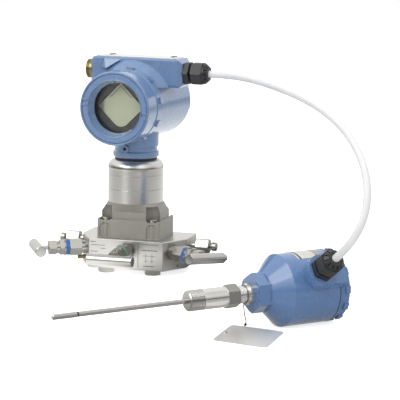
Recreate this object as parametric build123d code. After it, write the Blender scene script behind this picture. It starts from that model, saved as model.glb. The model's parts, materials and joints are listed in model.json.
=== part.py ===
"""Multivariable pressure transmitter on a three-valve manifold, with its wired temperature sensor.

Millimetres. The origin is the centre of the manifold's underside, on the axis of the pressure module.
+Z points up, -Y is the manifold's flat front, and the display faces the same way, turned a few degrees.
The temperature sensor lies in front, on the surface that the manifold's bolt heads stand on.
"""
from build123d import *
from math import cos, radians, sin, sqrt, tan
import os

# Fits
run_clearance = 0.05
rest_gap = 0.3
through = 1.0
hex_bevel_share = 0.7
hex_bevel_angle = 30.0

# Manifold block, seen from above: a front face, two flared faces and two sides
block_height = 39.0
block_front_half = 51.5
block_front_y = -41.0
block_side_half = 72.3
block_side_start_y = -4.0
block_back_y = 44.0
block_edge = 0.8
port_spacing = 54.0
port_radius = 9.1
port_depth = 20.0
bracket_spacing = 40.0
bracket_hole_radius = 4.2
bracket_hole_depth = 12.0
lock_pin_radius = 2.8
lock_pin_reach = 10.5
lock_pin_depth = 8.0
lock_pin_height = 9.8
lock_pin_offset = 2.0
lock_pin_chamfer = 0.6
plug_hole_radius = 1.3
plug_hole_depth = 6.0
plug_hole_height = 5.0
plug_hole_offset = 5.0

# Process bolts
bolt_half_x = 32.2
bolt_half_y = 24.5
bolt_radius = 5.55
bolt_clearance = 0.2
bolt_head_flats = 19.0
bolt_head_height = 7.6
bolt_end_reach = 4.0
bolt_end_chamfer = 1.0

# Cast base of the module
base_half_x = 43.6
base_half_y = 31.4
base_height = 25.0
base_corner = 3.0
base_shelf_height = 10.0
base_taper_height = 12.0
base_taper_inset = 3.2
bolt_recess_radius = 9.4
bolt_recess_height = 20.0
bolt_ledge_drop = 2.0
column_radius = 5.4
column_recess = 1.4
column_recess_half = 7.6
column_recess_height = 19.0
seal_radius = 13.5
seal_inner_radius = 7.5
seal_height = 3.0

# Welded steel module
module_radius = 36.6
module_cylinder_height = 43.6
module_shoulder_height = 13.0
module_neck_radius = 28.0
module_line_heights = (17.5, 36.5)
module_line_depth = 0.5
module_line_width = 0.9
stub_radius = 20.0
stub_height = 19.0
gasket_radius = 27.9
gasket_height = 2.4

# Housing neck
neck_foot_radius = 28.6
neck_foot_height = 2.0
collar_radius = 30.6
collar_height = 5.5
neck_radius = 29.9
neck_waist_radius = 28.4
neck_waist_height = 6.0
neck_lower_slope = 1.6
neck_upper_slope = 2.0
set_screw_height = 13.5
set_screw_angle = -5.0
set_screw_boss_radius = 5.2
set_screw_boss_reach = 33.5
set_screw_radius = 2.4
set_screw_sunk = 1.2

# Housing barrel and its two compartments
housing_turn = -4.0
barrel_height = 71.2
barrel_radius = 46.6
barrel_rear_radius = 49.5
barrel_front_y = -32.0
barrel_back_y = 70.0
spigot_radius = 44.0
spigot_length = 13.0
cavity_radius = 39.5
front_cavity_depth = 40.0
rear_spigot_radius = 40.0
rear_spigot_length = 6.0
rear_cavity_radius = 35.5
rear_cavity_depth = 50.0

# Conduit cross piece on top of the barrel
conduit_height = 42.7
cross_half_x = 64.0
cross_shift = 5.0
cross_half_y = 19.0
cross_half_z = 18.5
cross_top_chamfer = 2.0
cross_end_chamfer = 5.5
cross_low_chamfer = 3.0
flare_radius = 58.5
flare_length = 14.0
conduit_port_radius = 10.3
conduit_port_depth = 16.0

# Screw covers
cover_radius = 48.5
cover_front_radius = 46.6
cover_rim_depth = 13.0
cover_rim_slope = 2.0
cover_bevel = 2.6
cover_bevel_depth = 3.4
lug_count = 10
lug_first = 28.7
lug_reach = 2.4
lug_width = 8.5
lug_length = 8.5
cover_seal_width = 2.5
cover_seal_height = 1.5
cover_thread_gap = 1.0
display_cover_depth = 45.0
window_radius = 32.5
window_lip = 2.5
window_slope = 10.0
window_thickness = 6.0
window_seat = 4.7
band_inner_radius = 36.5
band_notch_width = 3.4
band_notch_depth = 1.2
band_notch_angle = 170.0
terminal_cover_depth = 12.0
terminal_cover_radius = 45.9
terminal_cover_bevel = 4.5
terminal_cover_bevel_depth = 6.0
terminal_band_inner_radius = 33.0
terminal_lug_length = 5.5
terminal_cover_dish = 1.6
terminal_dish_slope = 2.0

# Display and electronics
board_radius = 36.0
board_thickness = 2.0
board_can_radius = 29.0
board_can_height = 22.0
display_radius = 37.0
display_height = 36.0
lcd_side = 45.0
lcd_corner = 2.5
lcd_foot_corner = 13.0
lcd_thickness = 2.4
lcd_proud = 0.6
terminal_block_radius = 33.0
terminal_block_height = 20.0
terminal_block_cut = 12.0
terminal_screw_radius = 3.2
terminal_screw_height = 3.0
terminal_screw_pitch = 13.0
terminal_screw_count = 4

# Nameplate on the flat top
plate_half_x = 55.0
plate_half_y = 16.0
plate_thickness = 1.0
plate_corner = 3.0
plate_screw_xs = (-36.0, 50.0)
plate_screw_radius = 2.3
plate_screw_height = 1.8

# Conduit plug and cable glands
plug_radius = 12.4
plug_flange = 6.0
plug_chamfer = 1.0
plug_socket_flats = 9.5
plug_socket_depth = 3.5
gland_flats = 27.4
gland_flange = 7.6
gland_groove = 3.0
gland_core_radius = 9.6
gland_core_length = 25.0
gland_nut_length = 15.0
gland_dome_length = 7.0
gland_dome_radius = 9.2
gland_claw_count = 12
gland_claw_slot = 1.2
gland_claw_depth = 9.0
gland_dome_step = 0.6
gland_dome_straight = 2.5
gland_thread_length = 15.0

# Needle valves, measured outwards from the block's face
valve_height = 23.6
valve_thread_radius = 7.0
valve_thread_length = 14.0
bonnet_neck_radius = 8.5
bonnet_neck_length = 6.4
bonnet_flats = 20.4
bonnet_hex_length = 16.0
band_radius = 10.5
band_seat_radius = 9.6
band_length = 5.4
bonnet_rim_radius = 10.8
bonnet_rim_length = 1.5
bonnet_nut_flats = 18.6
bonnet_nut_length = 6.4
bonnet_ring_radius = 8.2
bonnet_ring_length = 4.1
packing_nut_flats = 17.0
packing_nut_length = 10.4
stem_radius = 2.9
tip_length = 17.0
tip_cone = 3.0
handle_distances = {"equalizer": 65.0, "high_side": 65.0, "low_side": 58.5}
handle_radius = 7.1
handle_length = 62.0
handle_chamfer = 0.8
handle_tilts = {"equalizer": 0.0, "high_side": 0.0, "low_side": -5.0}
end_nub_radius = 4.2
end_nub_length = 4.6

# Vent valves on the two sides
vent_y = 12.6
vent_height = 28.0
vent_thread_radius = 6.2
vent_thread_length = 12.0
vent_stub_radius = 4.6
vent_stub_length = 9.5
vent_flats = 17.6
vent_hex_length = 17.5
vent_screw_radius = 2.5
vent_screw_depth = 12.0
vent_neck_length = 3.0
vent_knob_radius = 5.9
vent_knob_length = 7.0
vent_knob_chamfer = 1.0

# Temperature sensor: where it lies
sensor_x = 264.6
sensor_y = -274.8
sensor_heading = 45.1
sensor_droop = 1.0
boss_rise = 32.0

# Temperature sensor: connection head, measured along its axis from the cone's wide end
head_radius = 43.2
head_length = 64.0
cone_length = 20.0
cone_small_radius = 23.0
head_hex_flats = 42.0
head_hex_length = 16.0
head_hex_sunk = 6.0
head_cavity_radius = 32.5
head_floor = 6.0
head_spigot_radius = 37.0
head_spigot_length = 7.0
boss_radius = 18.5
boss_face = 59.0
boss_along = 32.0
boss_shelf_drop = 3.0
head_cover_radius = 41.4
head_cover_gap = 0.8
head_cover_depth = 13.5
head_cover_wall = 3.5
head_cover_chamfer = 3.0
head_cover_chamfer_depth = 2.0
head_lug_count = 12
head_lug_reach = 1.9
head_lug_width = 9.0
head_lug_length = 6.5
head_seal_width = 2.0
head_block_radius = 24.0
head_block_height = 14.0
head_screw_radius = 2.6
head_screw_height = 2.4
head_screw_ring = 15.0
head_screw_count = 6
label_start = 18.0
label_length = 34.0
label_half_angle = 26.0
label_thickness = 0.3
label_glue = 0.02

# Temperature sensor: nipple, adapter and probe
nipple_radius = 10.35
nipple_length = 19.5
nipple_socket = 10.0
nipple_collar_radius = 12.6
nipple_collar_length = 5.0
nipple_bands = (6.5, 11.0, 15.5)
nipple_band_width = 1.6
nipple_band_depth = 0.7
nipple_bore = 4.5
adapter_flats = 24.6
adapter_hex_length = 15.6
adapter_radius = 12.3
adapter_cylinder_length = 31.0
adapter_thread_radius = 12.0
adapter_thread_length = 19.0
adapter_mouth = 1.4
chamber_radius = 7.0
chamber_wall = 6.0
probe_radius = 3.0
probe_reach = 170.0
probe_sleeve_radius = 3.3
probe_sleeve_length = 30.0
probe_groove = 0.5
probe_groove_length = 2.2
probe_collar_length = 4.0
probe_tip_chamfer = 1.0
probe_tail = 3.0
spring_wall = 1.6

# Cable between the two glands, with its route chosen by hand
cable_radius = 4.7
cable_lead = 24.0
cable_route = (
    (162.0, -26.0, 257.0),
    (210.0, -69.0, 252.0),
    (257.0, -120.0, 245.0),
    (302.0, -170.0, 232.0),
    (340.0, -222.0, 211.0),
    (366.0, -272.0, 186.0),
    (378.0, -308.0, 156.0),
    (375.0, -326.0, 127.0),
)

# Thin metal tag, its wire and the loop round the nipple
tag_x = 252.8
tag_y = -358.0
tag_length = 70.0
tag_width = 46.0
tag_thickness = 0.8
tag_corner = 5.0
tag_turn = -14.0
tag_tilt = 12.0
tag_hole_radius = 2.2
tag_hole_inset = 5.0
wire_radius = 0.7
wire_loop_along = 9.0
wire_route = (
    (234.6, -310.6, 12.0),
    (240.0, -317.5, 3.5),
    (236.0, -326.5, -4.0),
    (228.5, -337.0, -6.2),
    (224.6, -345.0, -5.4),
    (223.7, -350.0, -1.6),
)

# Worked-out places
floor_z = -bolt_head_height
base_bottom = block_height
base_ledge = base_bottom + base_height
can_bottom = base_ledge + base_shelf_height + base_taper_height
can_top = can_bottom + module_cylinder_height
module_top = can_top + module_shoulder_height
neck_bottom = module_top + gasket_height
barrel_z = neck_bottom + barrel_height
conduit_z = barrel_z + conduit_height
cross_top = conduit_z + cross_half_z
flare_dx = block_side_half - block_front_half
flare_dy = block_side_start_y - block_front_y
flare_face = sqrt(flare_dx ** 2 + flare_dy ** 2)
cover_bore = spigot_radius + run_clearance
seal_outer = spigot_radius + cover_seal_width

centre_low = (Align.CENTER, Align.CENTER, Align.MIN)


def disc(radius, low, high):
    """Cylinder about Z between two heights."""
    return Pos(0, 0, low) * Cylinder(radius, high - low, align=centre_low)


def ring(outer, inner, low, high):
    return disc(outer, low, high) - disc(inner, low, high)


def hexagon(flats, low, high, turn=0.0):
    """Hexagonal prism about Z, sized across its flats, with bevelled corners."""
    prism = extrude(Rot(0, 0, turn) * RegularPolygon(flats / sqrt(3), 6), high - low)
    corner = flats / sqrt(3)
    bevel = (corner - flats / 2) * hex_bevel_share
    rise = bevel * tan(radians(hex_bevel_angle))
    dome = turned([(0, 0), (corner - bevel, 0), (corner, rise), (corner, high - low - rise),
                   (corner - bevel, high - low), (0, high - low)])
    return Pos(0, 0, low) * (prism & dome)


def turned(points):
    """Solid of revolution about Z, from (radius, height) points."""
    return revolve(make_face(Polyline(*[(r, 0, z) for r, z in points], close=True)), Axis.Z)


def around(count, first=0.0):
    """Places evenly spaced about Z."""
    return [Rot(0, 0, first + 360 * i / count) for i in range(count)]


def corners(half_x, half_y):
    return [Pos(sx * half_x, sy * half_y) for sx in (-1, 1) for sy in (-1, 1)]


def valve_planes():
    """Each valve's plane on its face of the block, with +Z outwards and +X level."""
    side_x = (block_front_half + block_side_half) / 2
    side_y = (block_front_y + block_side_start_y) / 2
    out_x, out_y = flare_dy / flare_face, -flare_dx / flare_face
    return {
        "equalizer": Plane((0, block_front_y, valve_height), x_dir=(1, 0, 0), z_dir=(0, -1, 0)),
        "high_side": Plane((-side_x, side_y, valve_height), x_dir=(-out_y, -out_x, 0),
                           z_dir=(-out_x, out_y, 0)),
        "low_side": Plane((side_x, side_y, valve_height), x_dir=(-out_y, out_x, 0),
                          z_dir=(out_x, out_y, 0)),
    }


def vent_planes():
    return {
        "left": Plane((-block_side_half, vent_y, vent_height), x_dir=(0, -1, 0), z_dir=(-1, 0, 0)),
        "right": Plane((block_side_half, vent_y, vent_height), x_dir=(0, 1, 0), z_dir=(1, 0, 0)),
    }


def flare_plane(side, height, offset):
    """Plane on a flared face, at a height and a distance along it from its middle."""
    out_x, out_y = side * flare_dy / flare_face, -flare_dx / flare_face
    mid_x = side * (block_front_half + block_side_half) / 2 + side * offset * flare_dx / flare_face
    mid_y = (block_front_y + block_side_start_y) / 2 + offset * flare_dy / flare_face
    return Plane((mid_x, mid_y, height), z_dir=(out_x, out_y, 0))


def manifold():
    """Block, process bolts, lock pin and the seals under the module's base."""
    outline = Polyline((-block_front_half, block_front_y), (block_front_half, block_front_y),
                       (block_side_half, block_side_start_y), (block_side_half, block_back_y),
                       (-block_side_half, block_back_y), (-block_side_half, block_side_start_y),
                       close=True)
    block = extrude(make_face(outline), block_height)
    block = chamfer(block.edges(), block_edge)
    for place in corners(bolt_half_x, bolt_half_y):
        block -= place * disc(bolt_radius + bolt_clearance, -through, block_height + through)
    for side in (-1, 1):
        port = Pos(side * port_spacing / 2, 0)
        block -= port * disc(port_radius, -through, port_depth)
        block -= port * disc(seal_radius, block_height - seal_height, block_height + through)
        bracket_hole = Pos(0, side * bracket_spacing / 2)
        block -= bracket_hole * disc(bracket_hole_radius, -through, bracket_hole_depth)
    for plane in valve_planes().values():
        block -= plane * disc(valve_thread_radius, -valve_thread_length, through)
    for plane in vent_planes().values():
        block -= plane * disc(vent_thread_radius, -vent_thread_length, through)
    pin_plane = flare_plane(-1, lock_pin_height, lock_pin_offset)
    block -= pin_plane * disc(lock_pin_radius, -lock_pin_depth, through)
    plug_hole = flare_plane(1, plug_hole_height, plug_hole_offset)
    block -= plug_hole * disc(plug_hole_radius, -plug_hole_depth, through)

    bolt_end = base_ledge - bolt_ledge_drop + bolt_end_reach
    bolt = hexagon(bolt_head_flats, floor_z, 0) + chamfer(
        disc(bolt_radius, 0, bolt_end).edges().sort_by(Axis.Z)[-1], bolt_end_chamfer)
    seal = ring(seal_radius, seal_inner_radius, block_height - seal_height, block_height)
    pin = disc(lock_pin_radius, -lock_pin_depth, lock_pin_reach)
    pin = pin_plane * chamfer(pin.edges().sort_by(Axis.Z)[-1], lock_pin_chamfer)
    return {
        "manifold_block": block,
        "manifold_bolts": [place * bolt for place in corners(bolt_half_x, bolt_half_y)],
        "process_seals": [Pos(side * port_spacing / 2, 0) * seal for side in (-1, 1)],
        "lock_pin": pin,
    }


def packing_nut():
    """Nut that closes a bonnet round its stem."""
    low = (bonnet_neck_length + bonnet_hex_length + band_length + bonnet_rim_length + bonnet_nut_length
           + bonnet_ring_length)
    high = low + packing_nut_length
    bore = disc(stem_radius + run_clearance, low - through, high + through)
    return hexagon(packing_nut_flats, low, high) - bore


def valve(name, plane):
    """One needle valve: bonnet with its band, tip, stem and T handle."""
    hex_end = bonnet_neck_length + bonnet_hex_length
    band_end = hex_end + band_length
    rim_end = band_end + bonnet_rim_length
    nut_end = rim_end + bonnet_nut_length
    ring_end = nut_end + bonnet_ring_length
    bore = stem_radius + run_clearance
    bonnet = disc(valve_thread_radius, -valve_thread_length, 0)
    bonnet += disc(bonnet_neck_radius, 0, bonnet_neck_length)
    bonnet += hexagon(bonnet_flats, bonnet_neck_length, hex_end)
    bonnet += disc(band_seat_radius, hex_end, band_end) + disc(bonnet_rim_radius, band_end, rim_end)
    bonnet += hexagon(bonnet_nut_flats, rim_end, nut_end) + disc(bonnet_ring_radius, nut_end, ring_end)
    bonnet -= disc(bore, -valve_thread_length - through, ring_end + through)
    band = ring(band_radius, band_seat_radius, hex_end, band_end)
    tip_top = tip_length - valve_thread_length
    tip = turned([(0, -valve_thread_length), (stem_radius / 2, -valve_thread_length),
                  (stem_radius, tip_cone - valve_thread_length), (stem_radius, tip_top), (0, tip_top)])
    handle_distance = handle_distances[name]
    stem = disc(stem_radius, tip_top, handle_distance)
    bar = Rot(0, 90, 0) * Cylinder(handle_radius, handle_length)
    bar = chamfer(bar.edges().filter_by(GeomType.CIRCLE), handle_chamfer)
    if name == "low_side":
        nub = Pos(handle_length / 2 + end_nub_length / 2, 0, 0) * Rot(0, 90, 0)
        bar += nub * Cylinder(end_nub_radius, end_nub_length)
    handle = Pos(0, 0, handle_distance) * bar - disc(stem_radius, 0, handle_distance)
    turn = Rot(0, 0, handle_tilts[name])
    return {
        f"{name}_bonnet": plane * bonnet,
        f"{name}_band": plane * band,
        f"{name}_valve_tip": plane * tip,
        f"{name}_stem": plane * stem,
        f"{name}_handle": plane * turn * handle,
    }


def vent(name, plane):
    """Vent body with its bleed screw and knob."""
    body_end = vent_stub_length + vent_hex_length
    floor = body_end - vent_screw_depth
    body = disc(vent_thread_radius, -vent_thread_length, 0) + disc(vent_stub_radius, 0, vent_stub_length)
    body += hexagon(vent_flats, vent_stub_length, body_end)
    body -= disc(vent_screw_radius + run_clearance, floor, body_end + through)
    knob_low = body_end + vent_neck_length
    knob_high = knob_low + vent_knob_length
    screw = turned([(0, floor), (vent_screw_radius, floor), (vent_screw_radius, knob_low),
                    (vent_knob_radius - vent_knob_chamfer, knob_low),
                    (vent_knob_radius, knob_low + vent_knob_chamfer),
                    (vent_knob_radius, knob_high - vent_knob_chamfer),
                    (vent_knob_radius - vent_knob_chamfer, knob_high), (0, knob_high)])
    return {f"{name}_vent_body": plane * body, f"{name}_vent_screw": plane * screw}


def module():
    """Cast base, welded steel can with its threaded stub, and the gasket under the housing."""
    prism = Pos(0, 0, base_bottom) * extrude(
        RectangleRounded(2 * base_half_x, 2 * base_half_y, base_corner), base_height)
    shelf_face = RectangleRounded(
        2 * (base_half_x - base_taper_inset), 2 * (base_half_y - base_taper_inset), base_corner)
    shelf = Pos(0, 0, base_ledge) * extrude(shelf_face, base_shelf_height)
    low = Pos(0, 0, base_ledge + base_shelf_height) * shelf_face
    taper = loft([low, Pos(0, 0, can_bottom) * Circle(module_radius)])
    base = prism + shelf + taper
    ledge = base_ledge - bolt_ledge_drop
    recess_y = base_half_y - column_recess
    for place in corners(bolt_half_x, bolt_half_y):
        base -= place * disc(bolt_recess_radius, ledge, ledge + bolt_recess_height)
    for sx in (-1, 1):
        for sy in (-1, 1):
            slot_low = base_bottom + column_recess
            spring_line = column_recess_height - column_recess_half
            foot = Pos(sx * bolt_half_x, sy * base_half_y, slot_low)
            slot = foot * Box(2 * column_recess_half, 2 * column_recess, spring_line, align=centre_low)
            slot += foot * Pos(0, 0, spring_line) * Rot(90, 0, 0) * Cylinder(
                column_recess_half, 2 * column_recess)
            column = Pos(sx * bolt_half_x, sy * (base_half_y - column_radius), 0) * disc(
                column_radius, slot_low, base_bottom + column_recess_height)
            base -= slot - column
    for place in corners(bolt_half_x, bolt_half_y):
        base -= place * disc(bolt_radius, base_bottom - through, ledge + through)

    line_half = module_line_width / 2
    can = [(0, can_bottom), (module_radius, can_bottom)]
    for rise in module_line_heights:
        can += [(module_radius, can_bottom + rise - line_half),
                (module_radius - module_line_depth, can_bottom + rise),
                (module_radius, can_bottom + rise + line_half)]
    can.append((module_radius, can_top))
    side = Polyline(*[(r, 0, z) for r, z in can])
    half_turn = radians(45)
    middle_radius = module_neck_radius + (module_radius - module_neck_radius) * cos(half_turn)
    shoulder = ThreePointArc((module_radius, 0, can_top),
                             (middle_radius, 0, can_top + module_shoulder_height * sin(half_turn)),
                             (module_neck_radius, 0, module_top))
    stub_top = module_top + stub_height
    top = Polyline((module_neck_radius, 0, module_top), (stub_radius, 0, module_top),
                   (stub_radius, 0, stub_top), (0, 0, stub_top), (0, 0, can_bottom))
    can = revolve(make_face(side + shoulder + top), Axis.Z)
    gasket = ring(gasket_radius, stub_radius + run_clearance, module_top, neck_bottom)
    return {"module_base": base, "sensor_module": can, "neck_gasket": gasket}


def front_plane():
    return Plane((0, barrel_front_y, barrel_z), x_dir=(1, 0, 0), z_dir=(0, -1, 0))


def rear_plane():
    return Plane((0, barrel_back_y, barrel_z), x_dir=(-1, 0, 0), z_dir=(0, 1, 0))


def side_plane(side):
    """Plane on a conduit entry's face, with +Z outwards."""
    face_x = cross_shift + side * cross_half_x
    return Plane((face_x, 0, conduit_z), x_dir=(0, side, 0), z_dir=(side, 0, 0))


def bevelled(half_a, half_b, bevel, low_bevel):
    """Rectangle with its upper and lower corners cut off, as a face."""
    right = [(half_a - low_bevel, -half_b), (half_a, low_bevel - half_b), (half_a, half_b - bevel),
             (half_a - bevel, half_b)]
    return make_face(Polyline(*right, *[(-a, b) for a, b in reversed(right)], close=True))


def cross_piece():
    """Block with the two conduit entries, its long top edges and its ends bevelled."""
    ends, low = cross_end_chamfer, cross_low_chamfer
    across = extrude(Plane.YZ * bevelled(cross_half_y, cross_half_z, cross_top_chamfer, low),
                     cross_half_x, both=True)
    along = extrude(Plane.XZ * bevelled(cross_half_x, cross_half_z, ends, low), cross_half_y, both=True)
    seen_down = extrude(Plane.XY * bevelled(cross_half_x, cross_half_y, ends, ends), cross_half_z,
                        both=True)
    return Pos(cross_shift, 0, conduit_z) * (across & along & seen_down)


def housing():
    """Painted casting: neck, barrel with two compartments, and conduit cross piece."""
    front, rear = front_plane(), rear_plane()
    length = barrel_back_y - barrel_front_y
    body = front * Pos(0, 0, -length) * Cone(barrel_rear_radius, barrel_radius, length, align=centre_low)
    flare = Pos(0, 0, -flare_length) * Cone(flare_radius, barrel_radius, flare_length, align=centre_low)
    upper = Pos(0, 0, conduit_z - cross_half_z) * Box(
        4 * flare_radius, 2 * length, 2 * cross_half_z, align=centre_low)
    behind = Plane((0, -barrel_front_y, barrel_z), x_dir=(-1, 0, 0), z_dir=(0, 1, 0))
    saddle = (front * flare + behind * flare) & upper
    body += saddle + cross_piece()
    foot = neck_bottom + neck_foot_height
    waist = foot + collar_height
    neck = turned([(0, neck_bottom), (neck_foot_radius, neck_bottom), (collar_radius, foot),
                   (collar_radius, waist), (neck_waist_radius, waist + neck_lower_slope),
                   (neck_waist_radius, waist + neck_waist_height),
                   (neck_radius, waist + neck_waist_height + neck_upper_slope), (neck_radius, barrel_z),
                   (0, barrel_z)])
    body += neck
    screw_z = neck_bottom + set_screw_height
    screw_turn = radians(set_screw_angle)
    outwards = Vector(sin(screw_turn), -cos(screw_turn), 0)
    screw_plane = Plane(outwards * set_screw_boss_reach + Vector(0, 0, screw_z), z_dir=outwards)
    body += screw_plane * disc(set_screw_boss_radius, -set_screw_boss_reach + stub_radius, 0)
    body += front * disc(spigot_radius, 0, spigot_length)
    body += rear * disc(rear_spigot_radius, 0, rear_spigot_length)
    body -= front * disc(cavity_radius, -front_cavity_depth, spigot_length + through)
    body -= rear * disc(rear_cavity_radius, -rear_cavity_depth, rear_spigot_length + through)
    stub_room = disc(stub_radius + run_clearance, neck_bottom - through,
                     module_top + stub_height + through)
    body -= stub_room
    body -= screw_plane * disc(set_screw_radius, -set_screw_boss_reach, through)
    for side in (-1, 1):
        body -= side_plane(side) * disc(conduit_port_radius, -conduit_port_depth, through)
    screw_high = -set_screw_sunk
    screw_low = stub_radius + rest_gap - set_screw_boss_reach
    screw = screw_plane * disc(set_screw_radius, screw_low, screw_high)
    return {"housing": body, "housing_set_screw": screw}


def with_lugs(cover, radius, length):
    """Adds the lugs round a cover's rim."""
    lug = Box(lug_width, lug_reach + through, length, align=(Align.CENTER, Align.MAX, Align.MIN))
    for place in around(lug_count, lug_first):
        cover += place * Pos(0, radius + lug_reach, 0) * lug
    return cover


def housing_covers():
    """Both screw covers with their seals, and the window of the display cover."""
    depth = display_cover_depth
    seat_top = depth - window_slope - window_lip
    glass_low = seat_top - window_thickness
    thread_end = spigot_length + cover_thread_gap
    seal_room = seal_outer + run_clearance
    seal_top = cover_seal_height + run_clearance
    rim = [(cover_bore, seal_top), (seal_room, seal_top), (seal_room, 0), (cover_radius, 0)]
    window_r = window_radius + window_seat
    rim_top = cover_rim_depth + cover_rim_slope
    front_profile = rim + [(cover_radius, cover_rim_depth), (cover_front_radius, rim_top),
                           (cover_front_radius, depth - cover_bevel_depth),
                           (cover_front_radius - cover_bevel, depth), (band_inner_radius, depth),
                           (window_radius, depth - window_slope), (window_radius, seat_top),
                           (window_r, seat_top), (window_r, glass_low), (cavity_radius, glass_low),
                           (cavity_radius, thread_end), (cover_bore, thread_end)]
    display_cover = with_lugs(turned(front_profile), cover_radius, lug_length)
    slot = Box(cover_radius - band_inner_radius + 2 * lug_reach, band_notch_width, 2 * band_notch_depth,
               align=centre_low)
    middle = (band_inner_radius + cover_radius) / 2
    for turn in (band_notch_angle, band_notch_angle + 180):
        display_cover -= Rot(0, 0, turn) * Pos(middle, 0, depth - band_notch_depth) * slot

    rear_bore = rear_spigot_radius + run_clearance
    rear_seal = rear_spigot_radius + cover_seal_width
    rear_room = rear_seal + run_clearance
    rear_depth = terminal_cover_depth
    rear_radius = terminal_cover_radius
    rear_end = rear_spigot_length + cover_thread_gap
    dish_radius = terminal_band_inner_radius - terminal_dish_slope
    dish_floor = rear_depth - terminal_cover_dish
    rear_profile = [(rear_bore, seal_top), (rear_room, seal_top), (rear_room, 0), (rear_radius, 0),
                    (rear_radius, rear_depth - terminal_cover_bevel_depth),
                    (rear_radius - terminal_cover_bevel, rear_depth),
                    (terminal_band_inner_radius, rear_depth), (dish_radius, dish_floor),
                    (0, dish_floor), (0, rear_end), (rear_bore, rear_end)]
    front, rear = front_plane(), rear_plane()
    return {
        "display_cover": front * display_cover,
        "display_window": front * disc(window_r, glass_low, seat_top),
        "display_cover_seal": front * ring(seal_outer, cover_bore, 0, cover_seal_height),
        "terminal_cover": rear * with_lugs(turned(rear_profile), rear_radius, terminal_lug_length),
        "terminal_cover_seal": rear * ring(rear_seal, rear_bore, 0, cover_seal_height),
    }


def housing_insides():
    """Electronics stack and display in front, terminal block behind."""
    front, rear = front_plane(), rear_plane()
    floor = -front_cavity_depth
    board_low = floor + board_can_height
    board_top = board_low + board_thickness
    board = disc(board_can_radius, floor, board_low) + disc(board_radius, board_low, board_top)
    lcd_low = board_top + display_height - lcd_thickness + lcd_proud
    glass_face = Rot(0, 0, 45) * Rectangle(lcd_side, lcd_side)
    glass_face = fillet(glass_face.vertices().sort_by(Axis.Y)[0], lcd_foot_corner)
    glass_face = fillet(glass_face.vertices().sort_by(Axis.Y)[2:], lcd_corner)
    glass = Pos(0, 0, lcd_low) * extrude(glass_face, lcd_thickness)
    drum = disc(display_radius, board_top, board_top + display_height) - glass
    block = disc(terminal_block_radius, -rear_cavity_depth, terminal_block_height - rear_cavity_depth)
    block -= Pos(0, terminal_block_cut, -rear_cavity_depth + terminal_block_height / 2) * Box(
        2 * terminal_block_radius, 2 * terminal_block_cut, terminal_block_height,
        align=(Align.CENTER, Align.MIN, Align.MIN))
    block_top = terminal_block_height - rear_cavity_depth
    first = -(terminal_screw_count - 1) * terminal_screw_pitch / 2
    screws = [rear * Pos(first + i * terminal_screw_pitch, -terminal_block_cut / 2) * disc(
        terminal_screw_radius, block_top, block_top + terminal_screw_height)
        for i in range(terminal_screw_count)]
    return {
        "electronics_board": front * board,
        "display_module": front * drum,
        "display_glass": front * glass,
        "terminal_block": rear * block,
        "terminal_screws": screws,
    }


def nameplate():
    """Bare plate on the housing's flat top, held by two screws."""
    plate = Pos(cross_shift, 0, cross_top) * extrude(
        RectangleRounded(2 * plate_half_x, 2 * plate_half_y, plate_corner), plate_thickness)
    top = cross_top + plate_thickness
    screws = [Pos(x, 0) * disc(plate_screw_radius, top, top + plate_screw_height) for x in plate_screw_xs]
    return {"nameplate": plate, "nameplate_screws": screws}


def gland():
    """Cable gland on a port's face: body with its flange and core, and the domed clamping nut."""
    nut_low = gland_flange + gland_groove
    nut_high = nut_low + gland_nut_length
    dome_high = nut_high + gland_dome_length
    body = disc(conduit_port_radius, -gland_thread_length, 0) + hexagon(gland_flats, 0, gland_flange)
    body += disc(gland_core_radius, gland_flange, gland_core_length)
    nut = hexagon(gland_flats, nut_low, nut_high)
    dome_foot = gland_flats / 2 - gland_dome_step
    claws_low = nut_high + gland_dome_straight
    nut += turned([(0, nut_high), (dome_foot, nut_high), (dome_foot, claws_low),
                   (gland_dome_radius, dome_high), (0, dome_high)])
    slot = Box(gland_claw_depth, gland_claw_slot, gland_dome_length, align=centre_low)
    for place in around(gland_claw_count):
        nut -= place * Pos(gland_flats / 2, 0, claws_low) * slot
    nut -= disc(gland_core_radius, nut_low - through, gland_core_length)
    nut -= disc(cable_radius, gland_core_length - through, dome_high + through)
    return body, nut


def conduit_fittings():
    """Brass plug in the left entry and the cable gland in the right one."""
    plug = turned([(0, -gland_thread_length), (conduit_port_radius, -gland_thread_length),
                   (conduit_port_radius, 0), (plug_radius, 0), (plug_radius, plug_flange - plug_chamfer),
                   (plug_radius - plug_chamfer, plug_flange), (0, plug_flange)])
    plug -= hexagon(plug_socket_flats, plug_flange - plug_socket_depth, plug_flange + plug_socket_depth)
    body, nut = gland()
    return {
        "conduit_plug": side_plane(-1) * plug,
        "gland_body": side_plane(1) * body,
        "gland_nut": side_plane(1) * nut,
    }


def sensor_plane():
    """Plane at the cone's wide end, with +Z towards the head's cover and +X along the cable boss."""
    turn, droop, rise = radians(sensor_heading), radians(sensor_droop), radians(boss_rise)
    along = Vector(cos(turn) * cos(droop), sin(turn) * cos(droop), sin(droop))
    level = Vector(sin(turn), -cos(turn), 0)
    up = level.cross(along)
    boss = level * cos(rise) + up * sin(rise)
    axis_z = floor_z + head_radius * cos(droop)
    return Plane((sensor_x, sensor_y, axis_z), x_dir=boss, z_dir=along)


def boss_plane():
    """Plane on the face of the head's cable boss, with +Z outwards."""
    sensor = sensor_plane()
    face = sensor.from_local_coords((boss_face, 0, boss_along))
    return Plane(face, x_dir=sensor.y_dir, z_dir=sensor.x_dir)


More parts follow.
